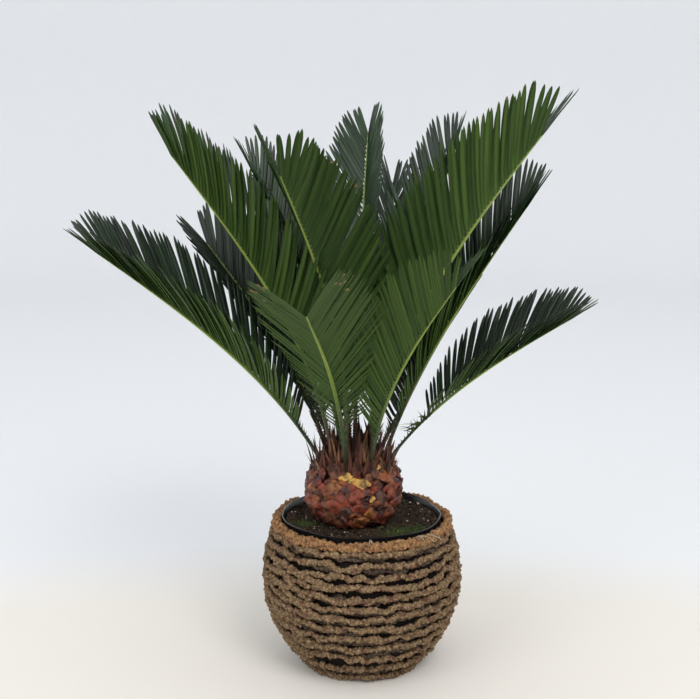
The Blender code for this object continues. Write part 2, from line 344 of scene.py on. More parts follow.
def new_material(name, colour, roughness, specular=0.5):
    material = bpy.data.materials.new(name)
    material.use_nodes = True
    shader = shader_of(material)
    shader.inputs["Base Color"].default_value = (*colour, 1.0)
    shader.inputs["Roughness"].default_value = roughness
    shader.inputs["Specular IOR Level"].default_value = specular
    return material


def new_materials(name, colours, *finish):
    return [new_material(f"{name}_{i}", colour, *finish) for i, colour in enumerate(colours)]


def shader_of(material):
    return material.node_tree.nodes["Principled BSDF"]


def add_node(material, kind, **values):
    node = material.node_tree.nodes.new(kind)
    for key, value in values.items():
        if key in node.inputs:
            node.inputs[key].default_value = value
        else:
            setattr(node, key, value)
    return node


def link(material, start, end):
    material.node_tree.links.new(start, end)


def paint(material, colour):
    """Leads a colour to the material's base colour."""
    link(material, colour, shader_of(material).inputs["Base Color"])


def object_noise(material, scale, detail, stretch=None):
    """A noise pattern in the object's own space."""
    place = add_node(material, "ShaderNodeTexCoord").outputs["Object"]
    if stretch:
        mapping = add_node(material, "ShaderNodeMapping", Scale=stretch)
        link(material, place, mapping.inputs["Vector"])
        place = mapping.outputs["Vector"]
    noise = add_node(material, "ShaderNodeTexNoise", Scale=scale, Detail=detail)
    link(material, place, noise.inputs["Vector"])
    return noise.outputs["Fac"]


def add_bump(material, scale, detail, strength, distance):
    """Fine unevenness after a noise pattern."""
    bump = add_node(material, "ShaderNodeBump", Strength=strength, Distance=distance)
    link(material, object_noise(material, scale, detail), bump.inputs["Height"])
    link(material, bump.outputs["Normal"], shader_of(material).inputs["Normal"])


def ramp(material, value, stops):
    """A colour ramp over a value: stops are (place, colour)."""
    node = add_node(material, "ShaderNodeValToRGB")
    elements = node.color_ramp.elements
    while len(elements) < len(stops):
        elements.new(0.5)
    for element, (place, colour) in zip(elements, stops):
        element.position = place
        element.color = (*colour, 1.0)
    link(material, value, node.inputs["Fac"])
    return node.outputs["Color"]


def rising(material, value, low, high, top=1.0):
    """A share that grows from 0 to top while the value goes from low to high."""
    ends = {"From Min": low, "From Max": high, "To Max": top}
    node = add_node(material, "ShaderNodeMapRange", **ends)
    link(material, value, node.inputs["Value"])
    return node.outputs["Result"]


def mix(material, share, first, second, blend="MIX"):
    """Mixes two colours, each a socket or a plain colour; share is a socket or a number."""
    node = add_node(material, "ShaderNodeMix", data_type="RGBA", blend_type=blend)
    for index, value in ((0, share), (6, first), (7, second)):
        if isinstance(value, bpy.types.NodeSocket):
            link(material, value, node.inputs[index])
        elif index == 0:
            node.inputs[index].default_value = value
        else:
            node.inputs[index].default_value = (*value, 1.0)
    return node.outputs[2]


def shaded_by_depth(material, colour, stops):
    """The colour with painted shade, darkened where a point of the mesh lies deep between its neighbours."""
    depth = add_node(material, "ShaderNodeAttribute", attribute_name="depth").outputs["Fac"]
    return mix(material, 1.0, colour, ramp(material, depth, stops), "MULTIPLY")


# Meshes


def quad_mesh(name, points, quads, tints=None, materials=(), sharp=None, depth=None):
    """An object of quads from arrays, wound so that its volume is positive, in the row frame."""
    points = np.asarray(points, float).reshape(-1, 3)
    a, b, c, d = (points[quads[:, k]] for k in range(4))
    volume = np.einsum("ij,ij->", a, np.cross(b, c)) + np.einsum("ij,ij->", a, np.cross(c, d))
    if volume < 0:
        quads = quads[:, ::-1]
    mesh = bpy.data.meshes.new(name)
    mesh.vertices.add(len(points))
    mesh.vertices.foreach_set("co", points.ravel())
    mesh.loops.add(quads.size)
    mesh.loops.foreach_set("vertex_index", quads.ravel())
    mesh.polygons.add(len(quads))
    mesh.polygons.foreach_set("loop_start", np.arange(0, quads.size, 4))
    for material in materials:
        mesh.materials.append(material)
    if tints is not None:
        mesh.polygons.foreach_set("material_index", np.asarray(tints, np.int32))
    if depth is not None:
        mesh.attributes.new("depth", "FLOAT", "POINT").data.foreach_set("value", np.ravel(depth))
    mesh.update(calc_edges=True)
    mesh.shade_smooth()
    if sharp:
        mesh.set_sharp_from_angle(angle=math.radians(sharp))
    return put_in_scene(name, mesh)


def put_in_scene(name, data, place=(0.0, 0.0, 0.0), turn=(0.0, 0.0, 0.0)):
    thing = bpy.data.objects.new(name, data)
    thing.location = place
    thing.rotation_euler = turn
    bpy.context.scene.collection.objects.link(thing)
    return thing


def piece(thing, slot, *nodes):
    """Hangs a piece on the body and hides the nodes that it stands for. The slot argument is not used."""
    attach(thing, BODY)
    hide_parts(*nodes)


def ring_quads(rows, ring, closed=False):
    """Quads between rows of ring points, with flat caps at both ends of an open row."""
    last = rows if closed else rows - 1
    i, j = np.meshgrid(np.arange(last), np.arange(ring), indexing="ij")
    k, n = (j + 1) % ring, (i + 1) % rows
    quads = np.stack([i * ring + j, i * ring + k, n * ring + k, n * ring + j], -1).reshape(-1, 4)
    if closed:
        return quads
    cap = np.array([[m, m + 1, ring - 2 - m, ring - 1 - m] for m in range(ring // 2 - 1)])
    return np.concatenate([quads, cap[:, ::-1], cap + (rows - 1) * ring])


def place_shapes(name, points, slot, nodes, materials, tints=0, closed=False, sharp=None, depth=None):
    """One piece of like shapes: points of shape (shape, row, ring, xyz), a tint for each shape or quad."""
    count, rows, ring = points.shape[:3]
    one = ring_quads(rows, ring, closed)
    quads = one + (np.arange(count) * rows * ring)[:, None, None]
    tints = np.asarray(tints)
    if tints.ndim < 2:
        tints = tints.reshape(-1, 1)
    tints = np.broadcast_to(tints, quads.shape[:2]).ravel()
    thing = quad_mesh(name, points, quads.reshape(-1, 4), tints, materials, sharp, depth)
    piece(thing, slot, *nodes)


def unit(vectors):
    return vectors / np.linalg.norm(vectors, axis=-1, keepdims=True)


def ease(value, low, high):
    share = np.clip((np.asarray(value, float) - low) / (high - low), 0.0, 1.0)
    return share * share * (3.0 - 2.0 * share)


def turns(count):
    """Angles that go once round in equal steps."""
    return np.arange(count) / count * math.tau


def around(turn):
    """Level directions out from the axis at the given angles."""
    return np.stack([np.cos(turn), np.sin(turn), np.zeros_like(turn)], -1)


def turned(profile, steps):
    """A profile of (radius, height) turned round the pot's axis: points of shape (place, step, xyz)."""
    profile = np.array(profile)
    return around(turns(steps)) * profile[:, :1, None] + UP * profile[:, 1:, None]


def hashed(cells, seed):
    """A random number from -1 to 1 for each whole-number cell."""
    n = cells[..., 0] * 374761393 + cells[..., 1] * 668265263
    n = n + cells[..., 2] * 1440662683 + seed * 974634777
    n = (n ^ (n >> 13)) & 0x7FFFFFFF
    n = (n * 1274126177) & 0x7FFFFFFF
    n = ((n ^ (n >> 15)) * 2246822519) & 0x7FFFFFFF
    return n / 1073741823.5 - 1.0


def noise(points, size, seed):
    """Smooth random values from -1 to 1 with features of a given size."""
    place = points / size
    cell = np.floor(place).astype(np.int64)
    share = place - cell
    share = share * share * (3.0 - 2.0 * share)
    total = 0.0
    for corner in product((0, 1), repeat=3):
        weight = np.prod(np.where(corner, share, 1.0 - share), axis=-1)
        total = total + weight * hashed(cell + np.array(corner), seed)
    return total


def nubs(points, size, seed):
    """Distance to the nearest of one random point per cell, in cells: 0 on a nub and about 1 between."""
    place = points / size
    cell = np.floor(place).astype(np.int64)
    best = np.full(place.shape[:-1], 9.0)
    for step in product((-1, 0, 1), repeat=3):
        near = cell + np.array(step)
        offset = np.stack([hashed(near, seed + k) for k in range(3)], -1)
        centre = near + 0.5 + 0.42 * offset
        best = np.minimum(best, ((place - centre) ** 2).sum(-1))
    return np.sqrt(best)


def wave(turn, rng, slowest, fastest):
    """A smooth random wave round a circle, mostly between -1 and 1."""
    cycles = np.arange(slowest, fastest + 1)[:, None]
    sizes = rng.normal(0.0, 1.0, cycles.shape)
    starts = rng.uniform(0.0, math.tau, cycles.shape)
    return (sizes * np.sin(cycles * turn + starts)).sum(0) / math.sqrt(len(cycles))


def spokes(first, second, ring):
    """Directions round a ring that lies in the plane of two others: shape (place, ring, xyz)."""
    turn = turns(ring)[None, :, None]
    return first[:, None] * np.cos(turn) + second[:, None] * np.sin(turn)


def cones(roots, axes, lengths, halves, ring=6):
    """Slender pointed cones: points of shape (cone, row, ring, xyz)."""
    helper = np.where(np.abs(axes[:, 2:]) < 0.9, UP[None], np.array([[1.0, 0.0, 0.0]]))
    first = unit(np.cross(axes, helper))
    rim = spokes(first, np.cross(axes, first), ring)
    rows = []
    for reach, width in ((0.0, 1.0), (0.45, 0.62), (1.0, 0.06)):
        centre = roots + axes * (lengths * reach)[:, None]
        rows.append(centre[:, None] + rim * (halves * width)[:, None, None])
    return np.stack(rows, 1)


def lances(roots, axes, outward, lengths, halves, bend):
    """Papery pointed blades that curve outwards: points of shape (lance, row, ring, xyz)."""
    side = unit(np.cross(axes, outward))
    rim = spokes(side, np.cross(side, axes) * 0.26, 6)
    rows = []
    for share, width in ((0.0, 0.9), (0.2, 1.0), (0.45, 0.72), (0.7, 0.42), (0.88, 0.2), (1.0, 0.03)):
        reach = (lengths * share)[:, None]
        centre = roots + axes * reach + outward * (bend * lengths * share**2)[:, None]
        rows.append(centre[:, None] + rim * (halves * width)[:, None, None])
    return np.stack(rows, 1)


# Fronds


def leaf_materials():
    """Green of the leaflets' upper and lower faces, dark to light, then both bases and the dry end."""
    materials = new_materials("leaflet_upper", LEAF_UPPER, 0.38, 0.4)
    materials += new_materials("leaflet_lower", LEAF_LOWER, 0.6, 0.25)
    materials.append(new_material("leaflet_base_upper", (0.20, 0.28, 0.07), 0.5))
    materials.append(new_material("leaflet_base_lower", (0.09, 0.14, 0.03), 0.5))
    materials.append(new_material("leaflet_dry", (0.20, 0.13, 0.035), 0.7))
    for material in materials:
        add_bump(material, 900.0, 2.0, 0.12, 0.0004)
    return materials


def rib_materials():
    """Colours along a midrib from foot to tip: those of a green stalk, then those of a brown one."""
    materials = []
    for stops in (GREEN_RIB, BROWN_RIB):
        table = np.array(stops)
        for place in (np.arange(RIB_TINTS) + 0.5) / RIB_TINTS:
            colour = [float(np.interp(place, table[:, 0], table[:, k])) for k in (1, 2, 3)]
            material = new_material(f"midrib_{len(materials)}", colour, 0.42)
            add_bump(material, 500.0, 3.0, 0.2, 0.0006)
            materials.append(material)
    return materials


def directions(frond, along):
    """Tangent, upper normal and right-hand side of a frond at shares of its length."""
    outward = around(np.radians(frond.azimuth + frond.swing * along))
    fall = frond.base_lift - frond.tip_lift
    lift = np.radians(frond.tip_lift + fall * (1.0 - along) ** 2)[..., None]
    tangent = outward * np.cos(lift) + UP * np.sin(lift)
    normal = UP * np.cos(lift) - outward * np.sin(lift)
    side = np.cross(tangent, normal)
    roll = math.radians(frond.roll)
    rolled_normal = normal * math.cos(roll) + side * math.sin(roll)
    rolled_side = side * math.cos(roll) - normal * math.sin(roll)
    return tangent, rolled_normal, rolled_side


def midrib_places(frond, along):
    """Places on the frond's midrib at shares of its length."""
    start = CROWN + frond.ring * around(math.radians(frond.azimuth)) + UP * frond.rise
    tangent, _, _ = directions(frond, (np.arange(MIDRIB_STEPS) + 0.5) / MIDRIB_STEPS)
    steps = np.cumsum(tangent * frond.length / MIDRIB_STEPS, axis=0)
    points = np.concatenate([start[None], start + steps])
    shares = np.linspace(0.0, 1.0, len(points))
    return np.stack([np.interp(along, shares, points[:, k]) for k in range(3)], -1)


def rib_half(frond, along):
    """Half width of the midrib at shares of its length."""
    _, _, rib_share = FOLIAGE.get(frond.name, USUAL)
    stalk = 0.0027 - 0.0004 * ease(along, 0.0, 0.16) + 0.0018 * (1.0 - ease(along, 0.0, 0.035))
    return stalk * rib_share * (1.0 - 0.75 * ease(along, 0.25, 1.1))


def leaflet_length(frond, share):
    rise = 0.3 + 0.7 * ease(share, -0.05, 0.34)
    fall = 0.30 * ease(share, 0.55, 0.97) + 0.22 * ease(share, 0.9, 1.0)
    return frond.leaflet * (rise - fall)


def leaflet_angle(frond, share):
    """Degrees between a leaflet and the midrib, which close towards the tip of the frond."""
    opening = 58.0 + frond.spread * (1.0 - ease(share, 0.0, 0.5))
    closing = 16.0 * ease(share, 0.0, 0.4) + 8.0 * ease(share, 0.4, 0.9) + 16.0 * ease(share, 0.88, 1.0)
    return opening - closing


def bunching(count, rng):
    """Degrees that bring neighbouring leaflets together in loose bunches, with small gaps between them."""
    offsets = np.zeros(count)
    start = 0
    while start < count:
        size = int(rng.integers(4, 10))
        members = np.arange(start, min(start + size, count))
        offsets[members] = ((members - start + 0.5) / size - 0.5) * rng.uniform(0.0, 2.8)
        start += size
    return offsets


def leaflet_row(frond, hand, rng):
    """The leaflets on one side of a midrib, with the tone of each and whether its end is dry."""
    span = 1.0 - frond.bare
    pitch_share, width_share, _ = FOLIAGE.get(frond.name, USUAL)
    count = int(frond.length * span / (LEAFLET_PITCH * pitch_share))
    share = (np.arange(count) + (0.25 if hand > 0 else 0.75)) / count
    share = np.clip(share + rng.normal(0.0, 0.12, count) / count, 0.002, 1.0)
    along = frond.bare + span * share
    place = share * frond.kept
    tangent, normal, side = directions(frond, along)
    keel = np.radians(frond.keel * (1.0 - KEEL_RELAX * share) + rng.normal(0.0, 1.6, count))[:, None]
    wing = side * hand * np.cos(keel) + normal * np.sin(keel)
    face = normal * np.cos(keel) - side * hand * np.sin(keel)
    angle = leaflet_angle(frond, place) + bunching(count, rng) + rng.normal(0.0, 0.9, count)
    angle = np.radians(angle)[:, None]
    forward = tangent * np.cos(angle) + wing * np.sin(angle)
    inplane = tangent * np.sin(angle) - wing * np.cos(angle)
    twist = np.radians(rng.normal(15.0, 4.0, count))[:, None]
    lie = face * np.cos(twist) - inplane * np.sin(twist)
    length = leaflet_length(frond, place) * rng.normal(1.0, 0.02, count)
    half = LEAFLET_HALF * width_share * (0.7 + 0.3 * ease(length, 0.02, 0.09))
    cut = np.ones(count)
    if frond.kept < 1.0:
        trimmed = (share > 0.72) & (rng.random(count) < 0.7)
        cut[trimmed] = rng.uniform(0.72, 0.9, trimmed.sum())
    root = midrib_places(frond, along) + wing * (rib_half(frond, along)[:, None] * 0.75)
    bend = inplane * LEAFLET_RISE - face * LEAFLET_DROOP
    points = leaflet_shapes(root, forward, bend, lie, length, half, cut)
    tone = np.clip(rng.normal(frond.tone * 2.0, 0.55, count), 0, 2).round().astype(int)
    dry = (cut < 1.0) | (rng.random(count) < 0.03)
    return points, tone, dry


def leaflet_shapes(root, forward, bend, lie, length, half, cut):
    """Thin bent blades with their margins rolled under: points of shape (leaflet, station, section, xyz)."""
    across = np.cross(forward, lie)
    place = OUTLINE_PLACES * cut[:, None]
    width = np.interp(place, OUTLINE_PLACES, OUTLINE_WIDTHS) * half[:, None]
    reach = place * length[:, None]
    centre = root[:, None] + forward[:, None] * reach[..., None] + bend[:, None] * (place * reach)[..., None]
    thin = np.clip(width / half[:, None], 0.15, 1.0)[..., None]
    thickness = SECTION_DEPTH * LEAFLET_THICK + SECTION_RIDGE * LEAFLET_RIDGE
    sideways = SECTION_ACROSS * width[..., None]
    height = SECTION_CURL * width[..., None] - thickness * thin
    section = across[:, None, None] * sideways[..., None] + lie[:, None, None] * height[..., None]
    return centre[:, :, None] + section


def leaflet_tints(tone, dry, painted_light_below):
    """Material of every quad: upper faces, lower faces with painted shade along their rolled edges, pale
    first strip and, on some, a dry end.
    """
    strips = len(OUTLINE_PLACES) - 1
    ring = len(SECTION_ACROSS)
    strip = np.repeat(np.arange(strips), ring)
    position = np.tile(np.arange(ring), strips)
    upper = position < UPPER_FACES
    # Painted shade: lower faces beside the rolled-under edges are one green darker, and the middle is kept
    # lighter
    shaded_edge = (position == UPPER_FACES) | (position == ring - 1)
    # Painted light: the listed fronds' lower faces all take the lightest green
    under = np.full_like(tone, len(LEAF_LOWER) - 1) if painted_light_below else tone
    lower = LOWER_FACE + np.where(shaded_edge, np.maximum(under - 1, 0)[:, None], under[:, None])
    lower = np.maximum(lower, LOWER_FACE + 1 - shaded_edge)
    body = np.where(upper, tone[:, None], lower)
    body = np.where(strip == 0, np.where(upper, BASE_UPPER, BASE_LOWER), body)
    body = np.where((strip == strips - 1) & dry[:, None], DRY_END, body)
    caps = np.repeat(np.where(dry, DRY_END, LOWER_FACE)[:, None], ring - 2, axis=1)
    return np.concatenate([body, caps], axis=1)


def make_leaflets(frond, materials, rng):
    """Both rows of a frond's leaflets."""
    rows = [leaflet_row(frond, hand, rng) for hand in (-1.0, 1.0)]
    points, tone, dry = (np.concatenate(parts) for parts in zip(*rows))
    tints = leaflet_tints(tone, dry, frond.name in PAINTED_LIGHT_BELOW)
    place_shapes(f"{frond.name}_leaflets", points, "frond", [frond.name], materials, tints, sharp=40)


def make_rib(frond, materials):
    """The midrib, grooved above and round below, with its foot sunk into the crown."""
    stations, ring = 64, 12
    along = np.linspace(0.0, 1.0, stations) ** 1.2
    tangent, normal, side = directions(frond, along)
    points = midrib_places(frond, along) - tangent * (0.010 * (1.0 - ease(along, 0.0, 0.05)))[:, None]
    turn = turns(ring)
    groove = 1.0 - 0.34 * np.exp(-((turn - math.pi / 2) ** 2) / 0.35)
    lobe = np.stack([np.cos(turn), np.sin(turn) * 0.82 * groove], -1)
    offset = side[:, None] * lobe[None, :, :1] + normal[:, None] * lobe[None, :, 1:]
    shell = points[:, None] + offset * rib_half(frond, along)[:, None, None]
    middle = (along[1:] + along[:-1]) / 2
    first = 0 if frond.name in GREEN_STALKS else RIB_TINTS
    tint = first + np.clip(middle * RIB_TINTS, 0, RIB_TINTS - 1).astype(int)
    caps = ring // 2 - 1
    tints = np.concatenate([np.repeat(tint, ring), np.full(caps, tint[0]), np.full(caps, tint[-1])])
    place_shapes(f"{frond.name}_midrib", shell[None], "frond", [frond.name], materials, tints[None])


def make_spines(materials):
    """Short spines along both edges of every stalk, longer towards the leaflets."""
    rng = np.random.default_rng(77)
    count = STALK_SPINES
    groups = []
    for frond, hand in product(FRONDS, (-1.0, 1.0)):
        share = (np.arange(count) + rng.uniform(0.2, 0.8, count)) / count
        along = 0.04 + share * (frond.bare - 0.03)
        tangent, normal, side = directions(frond, along)
        lean = tangent * 0.75 + side * hand * 0.75 + normal * 0.55
        axis = unit(lean + rng.normal(0.0, 0.1, (count, 3)))
        root = midrib_places(frond, along) + side * hand * (rib_half(frond, along) * 0.8)[:, None]
        length = 0.002 + 0.009 * share**2 + rng.uniform(0.0, 0.0015, count)
        groups.append(cones(root, axis, length, 0.0005 + 0.0009 * share))
    points = np.concatenate(groups)
    tints = rng.integers(0, len(materials), len(points))
    nodes = [frond.name for frond in FRONDS]
    place_shapes("stalk_spines", points, "frond", nodes, materials, tints, sharp=50)


def make_curled_leaflets(materials):
    """Small curled leaflets on the stalk of the lowest frond."""
    rng = np.random.default_rng(78)
    count = CURLED_COUNT
    along = rng.uniform(0.5, 1.0, count) * CURLED.bare
    tangent, normal, side = directions(CURLED, along)
    hand = rng.choice((-1.0, 1.0), count)[:, None]
    axes = unit(normal + side * hand * 0.6 - tangent * 0.3 + rng.normal(0.0, 0.25, (count, 3)))
    roots = midrib_places(CURLED, along)
    lengths = rng.uniform(0.009, 0.018, count)
    points = lances(roots, axes, tangent, lengths, np.full(count, 0.0022), rng.uniform(-0.8, 0.8, count))
    tints = rng.integers(0, len(materials), count)
    place_shapes("curled_leaflets", points, "frond", [CURLED.name], materials, tints)


def make_fronds():
    leaf = leaf_materials()
    rib = rib_materials()
    for index, frond in enumerate(FRONDS):
        make_leaflets(frond, leaf, np.random.default_rng(100 + index))
        make_rib(frond, rib)
    make_spines([rib[2], rib[3], leaf[3], leaf[4]])
    make_curled_leaflets([leaf[4], leaf[5]])


# Basket


def barrel(height):
    """Outer radius of the basket at heights above its foot."""
    below = np.clip((BELLY_HEIGHT - height) / BELLY_HEIGHT, 0.0, 1.0)
    above = np.clip((height - BELLY_HEIGHT) / (WALL_TOP - BELLY_HEIGHT), 0.0, 1.0)
    taper = (BELLY_RADIUS - FOOT_RADIUS) * below**2.3
    return BELLY_RADIUS - taper - (BELLY_RADIUS - MOUTH_RADIUS) * above**2


def course_levels():
    """Heights of the courses, which stand further apart where the barrel slopes in towards its foot."""
    height = np.linspace(COURSE_LOWEST, COURSE_HIGHEST, 200)
    steps = np.diff(height) - 0.42 * np.maximum(np.diff(barrel(height)), 0.0)
    travel = np.concatenate([[0.0], np.cumsum(steps)])
    return np.interp(np.linspace(0.0, travel[-1], COURSES), travel, height)


def rough_rope(turn, radius, height, half, ring, seed, nub=ROPE_NUB, relief=ROPE_RELIEF):
    """A rope round the axis, pushed out into nubs and fibres, and how far each point is up a nub."""
    lobe = spokes(around(turn), UP[None], ring)
    centre = around(turn) * radius[:, None] + UP * height[:, None]
    shell = centre[:, None] + lobe * half[:, None, None]
    rise = np.clip(1.3 - 1.3 * nubs(shell, nub, seed), 0.0, 1.0)
    push = relief * (rise - 0.45 + 0.22 * noise(shell, nub * 0.3, seed + 5))
    shell = shell + lobe * push[..., None]
    shell[..., 2] = np.maximum(shell[..., 2], 0.0)
    return shell, rise


def rope_courses(levels, half, inset, rng, stations, ring):
    """Courses of rope that lie round the basket and wander a little up and down."""
    turn = turns(stations)
    ropes = []
    for index, level in enumerate(levels):
        thick = half * (0.94 + 0.24 * wave(turn, rng, 5, 44))
        wander = 0.75 * wave(turn, rng, 2, 9) + 0.6 * wave(turn, rng, 10, 34)
        height = np.maximum(level + COURSE_WANDER * wander, thick)
        radius = barrel(height) - thick - inset + 0.0007 * wave(turn, rng, 2, 16)
        ropes.append(rough_rope(turn, radius, height, thick, ring, 40 + index))
    return ropes


def place_ropes(name, node, ropes, material, closed=True):
    """One piece of ropes, each with the depths that shade it."""
    shells, depths = zip(*ropes)
    place_shapes(name, np.stack(shells), "rope", [node], [material], closed=closed, depth=np.stack(depths))


def rope_material(name, dark, middle, light, red):
    """Twisted plant fibre: brown grain with redder patches, and painted shade that makes it darkest between
    its nubs.
    """
    material = new_material(name, middle, 0.9, 0.25)
    grain = ramp(material, object_noise(material, 520.0, 3.0), [(0.30, dark), (0.50, middle), (0.70, light)])
    patch = rising(material, object_noise(material, 190.0, 2.0), 0.56, 0.68)
    paint(material, shaded_by_depth(material, mix(material, patch, grain, red), ROPE_SHADE))
    add_bump(material, 1500.0, 4.0, 0.7, 0.0006)
    return material


def make_courses(outer, inner):
    """The outer courses in a lower and an upper piece, and a second layer that shows between them, in a
    darker rope that is painted shade.
    """
    rng = np.random.default_rng(11)
    levels = course_levels()
    middle = COURSES // 2
    for name, part in (("lower", levels[:middle]), ("upper", levels[middle:])):
        ropes = rope_courses(part, ROPE_HALF, 0.0, rng, *COURSE_MESH)
        place_ropes(f"basket_courses_{name}", "basket", ropes, outer)
    rng = np.random.default_rng(12)
    between = (levels[1:] + levels[:-1]) / 2
    between = between[rng.random(len(between)) < INNER_SHARE]
    ropes = rope_courses(between, ROPE_HALF * 1.1, INNER_SET_BACK, rng, *INNER_MESH)
    place_ropes("basket_inner_courses", "basket", ropes, inner)


def make_cross_strands(material):
    """Strands that climb from course to course, most of them at the front left."""
    rng = np.random.default_rng(13)
    stations, ring = STRAND_MESH
    share = np.linspace(0.0, 1.0, stations)
    ropes = []
    for start, sweep, low, high in CROSS_STRANDS:
        turn = np.radians(start + sweep * share)
        height = low + (high - low) * ease(share, 0.0, 1.0) + 0.0012 * wave(turn * 4, rng, 1, 4)
        thick = ROPE_HALF * (0.55 + 0.45 * np.sin(share * math.pi) ** 0.4)
        ropes.append(rough_rope(turn, barrel(height) - thick * 0.8, height, thick, ring, start))
    place_ropes("basket_cross_strands", "basket", ropes, material, closed=False)


def make_base_coil(material):
    """The coiled rope that closes the basket's underside, in the darker rope that is painted shade."""
    rng = np.random.default_rng(14)
    stations, ring = COIL_MESH
    turn = turns(stations)
    half = np.full_like(turn, ROPE_HALF)
    count = int(FOOT_RADIUS / (2.1 * ROPE_HALF))
    ropes = []
    for index in range(count):
        radius = (index + 0.45) * FOOT_RADIUS / count + 0.0004 * wave(turn, rng, 2, 8)
        rope = rough_rope(turn, radius, half + 0.0002, half, ring, 70 + index, relief=ROPE_RELIEF * 0.6)
        ropes.append(rope)
    place_ropes("basket_base_coil", "basket", ropes, material)


def make_basket_core():
    """The inner wall behind the ropes, dark with painted shade where it shows between them."""
    heights = np.linspace(0.006, WALL_TOP - 0.002, 12)
    outer = [(radius - CORE_SET_BACK, height) for radius, height in zip(barrel(heights), heights)]
    inner = [(radius - CORE_THICK, height) for radius, height in reversed(outer)]
    wall = turned(outer + inner, 96).swapaxes(0, 1)
    shadow = new_material("basket_shadow", (0.022, 0.017, 0.014), 0.95, 0.1)
    place_shapes("basket_core", wall[None], "rope", ["basket"], [shadow], closed=True)


def make_rim(material):
    """The plaited rope that rolls over the basket's mouth."""
    rng = np.random.default_rng(15)
    stations, ring = RIM_MESH
    turn = turns(stations)
    plait = 0.0006 * np.abs(np.sin(turn * RIM_PLAITS / 2)) - 0.0004
    half = RIM_ROPE * (0.76 + 0.06 * wave(turn, rng, 3, 30)) + plait
    radius = RIM_RADIUS + 0.0007 * wave(turn, rng, 2, 10)
    height = RIM_HEIGHT + 0.0011 * wave(turn, rng, 2, 12)
    rope = rough_rope(turn, radius, height, half, ring, 31, ROPE_NUB * 1.2, ROPE_RELIEF * 1.3)
    place_ropes("basket_rim_rope", "basket_rim", [rope], material)


def make_threads():
    """Pale frayed fibres that stick out of the rim."""
    rng = np.random.default_rng(16)
    stations, ring = THREAD_MESH
    share = np.linspace(0.0, 1.0, stations)[:, None]
    tubes = []
    for x, y, reach, loop in THREADS:
        start = np.array([x, y, RIM_HEIGHT + RIM_ROPE])
        drift = np.array([reach, -0.3 * abs(reach), 0.0])
        sag = UP * (loop * np.sin(share * math.pi) - 0.004 * share**2)
        path = start + drift * share + sag + rng.normal(0.0, 0.0001, (stations, 3))
        tangent = unit(np.gradient(path, axis=0))
        first = unit(np.cross(tangent, np.array([0.2, 0.3, 1.0])))
        tubes.append(path[:, None] + spokes(first, np.cross(tangent, first), ring) * THREAD_HALF)
    fibre = new_material("pale_fibre", (0.42, 0.37, 0.31), 0.7)
    place_shapes("rim_threads", np.stack(tubes), "rope", ["basket_rim"], [fibre])


def make_basket():
    outer = rope_material("rope_outer", *OUTER_ROPE)
    inner = rope_material("rope_inner_shaded", *SHADED_INNER_ROPE)
    make_courses(outer, inner)
    make_cross_strands(outer)
    make_base_coil(inner)
    make_basket_core()
    make_rim(rope_material("rope_rim", *RIM_COLOURS))
    make_threads()


# Nursery pot and soil


def pot_wall(height):
    """Outer radius of the nursery pot's straight wall."""
    share = (height - POT_BASE) / (POT_TOP - POT_BASE)
    return POT_FOOT + (POT_MOUTH - POT_FOOT) * share


def make_nursery_pot():
    """The thin black liner, whose lip is a little wavy."""
    outer = [(pot_wall(h), h) for h in np.linspace(POT_BASE, POT_TOP, 18)]
    lip = [(POT_MOUTH + 0.0005, POT_TOP + 0.0006), (POT_MOUTH - 0.0006, POT_TOP + 0.0010)]
    inner = [(pot_wall(h) - POT_WALL, h) for h in np.linspace(POT_TOP - 0.0006, POT_BASE + POT_WALL, 18)]
    points = turned(outer + lip + inner, POT_STEPS)
    rng = np.random.default_rng(21)
    turn = turns(POT_STEPS)
    sway = around(turn) * (0.0007 * wave(turn, rng, 2, 9) - 0.0006)[:, None]
    sway = sway + UP * (0.0008 * wave(turn, rng, 2, 6))[:, None]
    points = points + ease(points[..., 2:], POT_TOP - 0.03, POT_TOP) * sway
    material = new_material("black_plastic", (0.010, 0.010, 0.012), 0.28, 0.6)
    add_bump(material, 260.0, 2.0, 0.15, 0.0008)
    place_shapes("nursery_pot_wall", points[None], "pot_plastic", ["nursery_pot"], [material], sharp=50)


def soil_height(flat):
    """Height of the lumpy soil at places (x, y), a little higher at the pot's wall."""
    place = np.concatenate([flat, np.zeros_like(flat[..., :1])], -1)
    level = SOIL_TOP + 0.0016 * ease(np.hypot(flat[..., 0], flat[..., 1]), 0.055, 0.083)
    lumps = 0.0016 * noise(place, 0.014, 61) + 0.0010 * noise(place, 0.005, 62)
    return level + lumps + 0.0005 * noise(place, 0.0017, 63)


def make_soil_body():
    """The soil down to the pot's floor, with a rough top."""
    heights = np.linspace(POT_BASE + 2 * POT_WALL, SOIL_TOP - 0.002, 8)
    wall = [(pot_wall(h) - POT_WALL - 0.0004, h) for h in heights]
    top = [(radius, SOIL_TOP) for radius in np.linspace(wall[-1][0], 0.02, 44)]
    points = turned(wall + top, 280)
    surface = points[len(wall) :]
    surface[..., 2] = soil_height(surface[..., :2])
    surface[0, :, 2] -= 0.001
    material = new_material("compost", (0.02, 0.013, 0.009), 0.95, 0.2)
    stops = [(0.3, (0.009, 0.006, 0.005)), (0.5, (0.030, 0.019, 0.012)), (0.7, (0.070, 0.042, 0.024))]
    paint(material, ramp(material, object_noise(material, 380.0, 4.0), stops))
    add_bump(material, 900.0, 4.0, 0.8, 0.001)
    place_shapes("soil_surface", points[None], "soil", ["soil"], [material])


